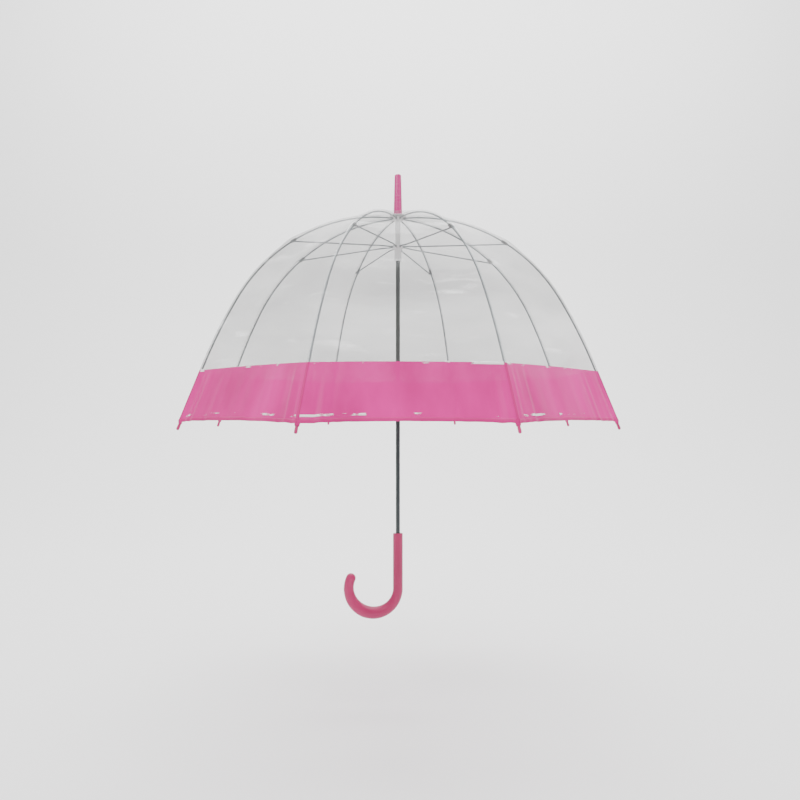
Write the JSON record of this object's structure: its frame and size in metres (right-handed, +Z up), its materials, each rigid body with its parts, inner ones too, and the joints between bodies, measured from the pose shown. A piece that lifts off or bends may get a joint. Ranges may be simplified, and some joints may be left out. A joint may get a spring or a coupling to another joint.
{
  "type": "stick umbrella",
  "caption": "Dome-shaped stick umbrella with clear panels, a coloured border, a crook handle and a sliding runner.",
  "frame": {"origin": "middle of the straight grip, on the shaft's axis", "axes": "+Z up the shaft to the ferrule, the crook bends towards -X"},
  "size_m": [0.7574, 0.7574, 0.8409],
  "materials": {
    "shaft_steel": "satin black lacquer on a steel tube",
    "pink_handle": "smooth moulded plastic",
    "pink_ferrule": "glossy moulded plastic",
    "pink_caps": "moulded plastic",
    "white_plastic": "moulded plastic",
    "bright_steel": "drawn wire and stamped strip",
    "rib_steel": "drawn rod, dull plated",
    "bracket_steel": "dark crimped sheet",
    "clear_vinyl": "clear soft vinyl film",
    "pink_vinyl": "tinted soft vinyl film",
    "pink_hem": "folded and welded vinyl edge"
  },
  "bodies": {
    "root": {"shaft": "shaft_steel", "ferrule": "pink_ferrule", "crown_washer": "pink_ferrule", "handle": "pink_handle", "notch": "white_plastic", "notch_wire": "bright_steel", "stop_sleeve": "white_plastic", "catch_pins": "bright_steel", "clear_panels": "clear_vinyl", "border_panels": "pink_vinyl", "border_hem": "pink_hem"},
    "runner": {"runner": "white_plastic", "runner_wire": "bright_steel"},
    "top_catch": {"top_catch": "bright_steel"},
    "bottom_catch": {"bottom_catch": "bright_steel"},
    "inner_rib_1": {"inner_rib_1": "rib_steel", "rib_bracket_1": "bracket_steel"},
    "outer_rib_1": {"outer_rib_1": "rib_steel", "tip_cap_1": "pink_caps"},
    "stretcher_1": {"stretcher_1": "rib_steel"},
    "inner_rib_2": {"inner_rib_2": "rib_steel", "rib_bracket_2": "bracket_steel"},
    "outer_rib_2": {"outer_rib_2": "rib_steel", "tip_cap_2": "pink_caps"},
    "stretcher_2": {"stretcher_2": "rib_steel"},
    "inner_rib_3": {"inner_rib_3": "rib_steel", "rib_bracket_3": "bracket_steel"},
    "outer_rib_3": {"outer_rib_3": "rib_steel", "tip_cap_3": "pink_caps"},
    "stretcher_3": {"stretcher_3": "rib_steel"},
    "inner_rib_4": {"inner_rib_4": "rib_steel", "rib_bracket_4": "bracket_steel"},
    "outer_rib_4": {"outer_rib_4": "rib_steel", "tip_cap_4": "pink_caps"},
    "stretcher_4": {"stretcher_4": "rib_steel"},
    "inner_rib_5": {"inner_rib_5": "rib_steel", "rib_bracket_5": "bracket_steel"},
    "outer_rib_5": {"outer_rib_5": "rib_steel", "tip_cap_5": "pink_caps"},
    "stretcher_5": {"stretcher_5": "rib_steel"},
    "inner_rib_6": {"inner_rib_6": "rib_steel", "rib_bracket_6": "bracket_steel"},
    "outer_rib_6": {"outer_rib_6": "rib_steel", "tip_cap_6": "pink_caps"},
    "stretcher_6": {"stretcher_6": "rib_steel"},
    "inner_rib_7": {"inner_rib_7": "rib_steel", "rib_bracket_7": "bracket_steel"},
    "outer_rib_7": {"outer_rib_7": "rib_steel", "tip_cap_7": "pink_caps"},
    "stretcher_7": {"stretcher_7": "rib_steel"},
    "inner_rib_8": {"inner_rib_8": "rib_steel", "rib_bracket_8": "bracket_steel"},
    "outer_rib_8": {"outer_rib_8": "rib_steel", "tip_cap_8": "pink_caps"},
    "stretcher_8": {"stretcher_8": "rib_steel"}
  },
  "joints": [
    {"name": "runner_slide", "type": "slide", "parent": "root", "child": "runner", "axis": [0, 0, -1], "range_m": [0, 0.35475]},
    {"name": "rib_1_fold", "type": "hinge", "parent": "root", "child": "inner_rib_1", "pos_m": [0.00358, -0.00771, 0.647], "axis": [0.9067, 0.4217, 0], "range_deg": [0, 70.5]},
    {"name": "outer_rib_1_fold", "type": "hinge", "parent": "inner_rib_1", "child": "outer_rib_1", "pos_m": [0.08736, -0.18785, 0.58245], "axis": [0.9067, 0.4217, 0], "range_deg": [-41.31, 0]},
    {"name": "stretcher_1_fold", "type": "hinge", "parent": "runner", "child": "stretcher_1", "pos_m": [0.00358, -0.00771, 0.594], "axis": [0.9067, 0.4217, 0], "range_deg": [-91.75, 0]},
    {"name": "rib_2_fold", "type": "hinge", "parent": "root", "child": "inner_rib_2", "pos_m": [0.00798, -0.00292, 0.647], "axis": [0.343, 0.9393, 0], "range_deg": [0, 70.5]},
    {"name": "outer_rib_2_fold", "type": "hinge", "parent": "inner_rib_2", "child": "outer_rib_2", "pos_m": [0.1946, -0.07106, 0.58245], "axis": [0.343, 0.9393, 0], "range_deg": [-41.31, 0]},
    {"name": "stretcher_2_fold", "type": "hinge", "parent": "runner", "child": "stretcher_2", "pos_m": [0.00798, -0.00292, 0.594], "axis": [0.343, 0.9393, 0], "range_deg": [-91.75, 0]},
    {"name": "rib_3_fold", "type": "hinge", "parent": "root", "child": "inner_rib_3", "pos_m": [0.00771, 0.00358, 0.647], "axis": [-0.4217, 0.9067, 0], "range_deg": [0, 70.5]},
    {"name": "outer_rib_3_fold", "type": "hinge", "parent": "inner_rib_3", "child": "outer_rib_3", "pos_m": [0.18785, 0.08736, 0.58245], "axis": [-0.4217, 0.9067, 0], "range_deg": [-41.31, 0]},
    {"name": "stretcher_3_fold", "type": "hinge", "parent": "runner", "child": "stretcher_3", "pos_m": [0.00771, 0.00358, 0.594], "axis": [-0.4217, 0.9067, 0], "range_deg": [-91.75, 0]},
    {"name": "rib_4_fold", "type": "hinge", "parent": "root", "child": "inner_rib_4", "pos_m": [0.00292, 0.00798, 0.647], "axis": [-0.9393, 0.343, 0], "range_deg": [0, 70.5]},
    {"name": "outer_rib_4_fold", "type": "hinge", "parent": "inner_rib_4", "child": "outer_rib_4", "pos_m": [0.07106, 0.1946, 0.58245], "axis": [-0.9393, 0.343, 0], "range_deg": [-41.31, 0]},
    {"name": "stretcher_4_fold", "type": "hinge", "parent": "runner", "child": "stretcher_4", "pos_m": [0.00292, 0.00798, 0.594], "axis": [-0.9393, 0.343, 0], "range_deg": [-91.75, 0]},
    {"name": "rib_5_fold", "type": "hinge", "parent": "root", "child": "inner_rib_5", "pos_m": [-0.00358, 0.00771, 0.647], "axis": [-0.9067, -0.4217, 0], "range_deg": [0, 70.5]},
    {"name": "outer_rib_5_fold", "type": "hinge", "parent": "inner_rib_5", "child": "outer_rib_5", "pos_m": [-0.08736, 0.18785, 0.58245], "axis": [-0.9067, -0.4217, 0], "range_deg": [-41.31, 0]},
    {"name": "stretcher_5_fold", "type": "hinge", "parent": "runner", "child": "stretcher_5", "pos_m": [-0.00358, 0.00771, 0.594], "axis": [-0.9067, -0.4217, 0], "range_deg": [-91.75, 0]},
    {"name": "rib_6_fold", "type": "hinge", "parent": "root", "child": "inner_rib_6", "pos_m": [-0.00798, 0.00292, 0.647], "axis": [-0.343, -0.9393, 0], "range_deg": [0, 70.5]},
    {"name": "outer_rib_6_fold", "type": "hinge", "parent": "inner_rib_6", "child": "outer_rib_6", "pos_m": [-0.1946, 0.07106, 0.58245], "axis": [-0.343, -0.9393, 0], "range_deg": [-41.31, 0]},
    {"name": "stretcher_6_fold", "type": "hinge", "parent": "runner", "child": "stretcher_6", "pos_m": [-0.00798, 0.00292, 0.594], "axis": [-0.343, -0.9393, 0], "range_deg": [-91.75, 0]},
    {"name": "rib_7_fold", "type": "hinge", "parent": "root", "child": "inner_rib_7", "pos_m": [-0.00771, -0.00358, 0.647], "axis": [0.4217, -0.9067, 0], "range_deg": [0, 70.5]},
    {"name": "outer_rib_7_fold", "type": "hinge", "parent": "inner_rib_7", "child": "outer_rib_7", "pos_m": [-0.18785, -0.08736, 0.58245], "axis": [0.4217, -0.9067, 0], "range_deg": [-41.31, 0]},
    {"name": "stretcher_7_fold", "type": "hinge", "parent": "runner", "child": "stretcher_7", "pos_m": [-0.00771, -0.00358, 0.594], "axis": [0.4217, -0.9067, 0], "range_deg": [-91.75, 0]},
    {"name": "rib_8_fold", "type": "hinge", "parent": "root", "child": "inner_rib_8", "pos_m": [-0.00292, -0.00798, 0.647], "axis": [0.9393, -0.343, 0], "range_deg": [0, 70.5]},
    {"name": "outer_rib_8_fold", "type": "hinge", "parent": "inner_rib_8", "child": "outer_rib_8", "pos_m": [-0.07106, -0.1946, 0.58245], "axis": [0.9393, -0.343, 0], "range_deg": [-41.31, 0]},
    {"name": "stretcher_8_fold", "type": "hinge", "parent": "runner", "child": "stretcher_8", "pos_m": [-0.00292, -0.00798, 0.594], "axis": [0.9393, -0.343, 0], "range_deg": [-91.75, 0]},
    {"name": "top_catch_press", "type": "hinge", "parent": "root", "child": "top_catch", "pos_m": [-0.00004, 0.001, 0.5555], "axis": [0.9991, 0.0426, 0], "range_deg": [0, 9.5], "stiffness_Nm_per_rad": 0.05},
    {"name": "bottom_catch_press", "type": "hinge", "parent": "root", "child": "bottom_catch", "pos_m": [-0.00004, 0.001, 0.2293], "axis": [-0.9991, -0.0426, 0], "range_deg": [0, 9.5], "stiffness_Nm_per_rad": 0.05}
  ],
  "couplings": [
    {"joint": "rib_1_fold", "follows": "runner_slide", "rad_per_m": 3.4681},
    {"joint": "outer_rib_1_fold", "follows": "runner_slide", "rad_per_m": -2.032},
    {"joint": "stretcher_1_fold", "follows": "runner_slide", "rad_per_m": -4.5137},
    {"joint": "rib_2_fold", "follows": "runner_slide", "rad_per_m": 3.4681},
    {"joint": "outer_rib_2_fold", "follows": "runner_slide", "rad_per_m": -2.032},
    {"joint": "stretcher_2_fold", "follows": "runner_slide", "rad_per_m": -4.5137},
    {"joint": "rib_3_fold", "follows": "runner_slide", "rad_per_m": 3.4681},
    {"joint": "outer_rib_3_fold", "follows": "runner_slide", "rad_per_m": -2.032},
    {"joint": "stretcher_3_fold", "follows": "runner_slide", "rad_per_m": -4.5137},
    {"joint": "rib_4_fold", "follows": "runner_slide", "rad_per_m": 3.4681},
    {"joint": "outer_rib_4_fold", "follows": "runner_slide", "rad_per_m": -2.032},
    {"joint": "stretcher_4_fold", "follows": "runner_slide", "rad_per_m": -4.5137},
    {"joint": "rib_5_fold", "follows": "runner_slide", "rad_per_m": 3.4681},
    {"joint": "outer_rib_5_fold", "follows": "runner_slide", "rad_per_m": -2.032},
    {"joint": "stretcher_5_fold", "follows": "runner_slide", "rad_per_m": -4.5137},
    {"joint": "rib_6_fold", "follows": "runner_slide", "rad_per_m": 3.4681},
    {"joint": "outer_rib_6_fold", "follows": "runner_slide", "rad_per_m": -2.032},
    {"joint": "stretcher_6_fold", "follows": "runner_slide", "rad_per_m": -4.5137},
    {"joint": "rib_7_fold", "follows": "runner_slide", "rad_per_m": 3.4681},
    {"joint": "outer_rib_7_fold", "follows": "runner_slide", "rad_per_m": -2.032},
    {"joint": "stretcher_7_fold", "follows": "runner_slide", "rad_per_m": -4.5137},
    {"joint": "rib_8_fold", "follows": "runner_slide", "rad_per_m": 3.4681},
    {"joint": "outer_rib_8_fold", "follows": "runner_slide", "rad_per_m": -2.032},
    {"joint": "stretcher_8_fold", "follows": "runner_slide", "rad_per_m": -4.5137}
  ]
}
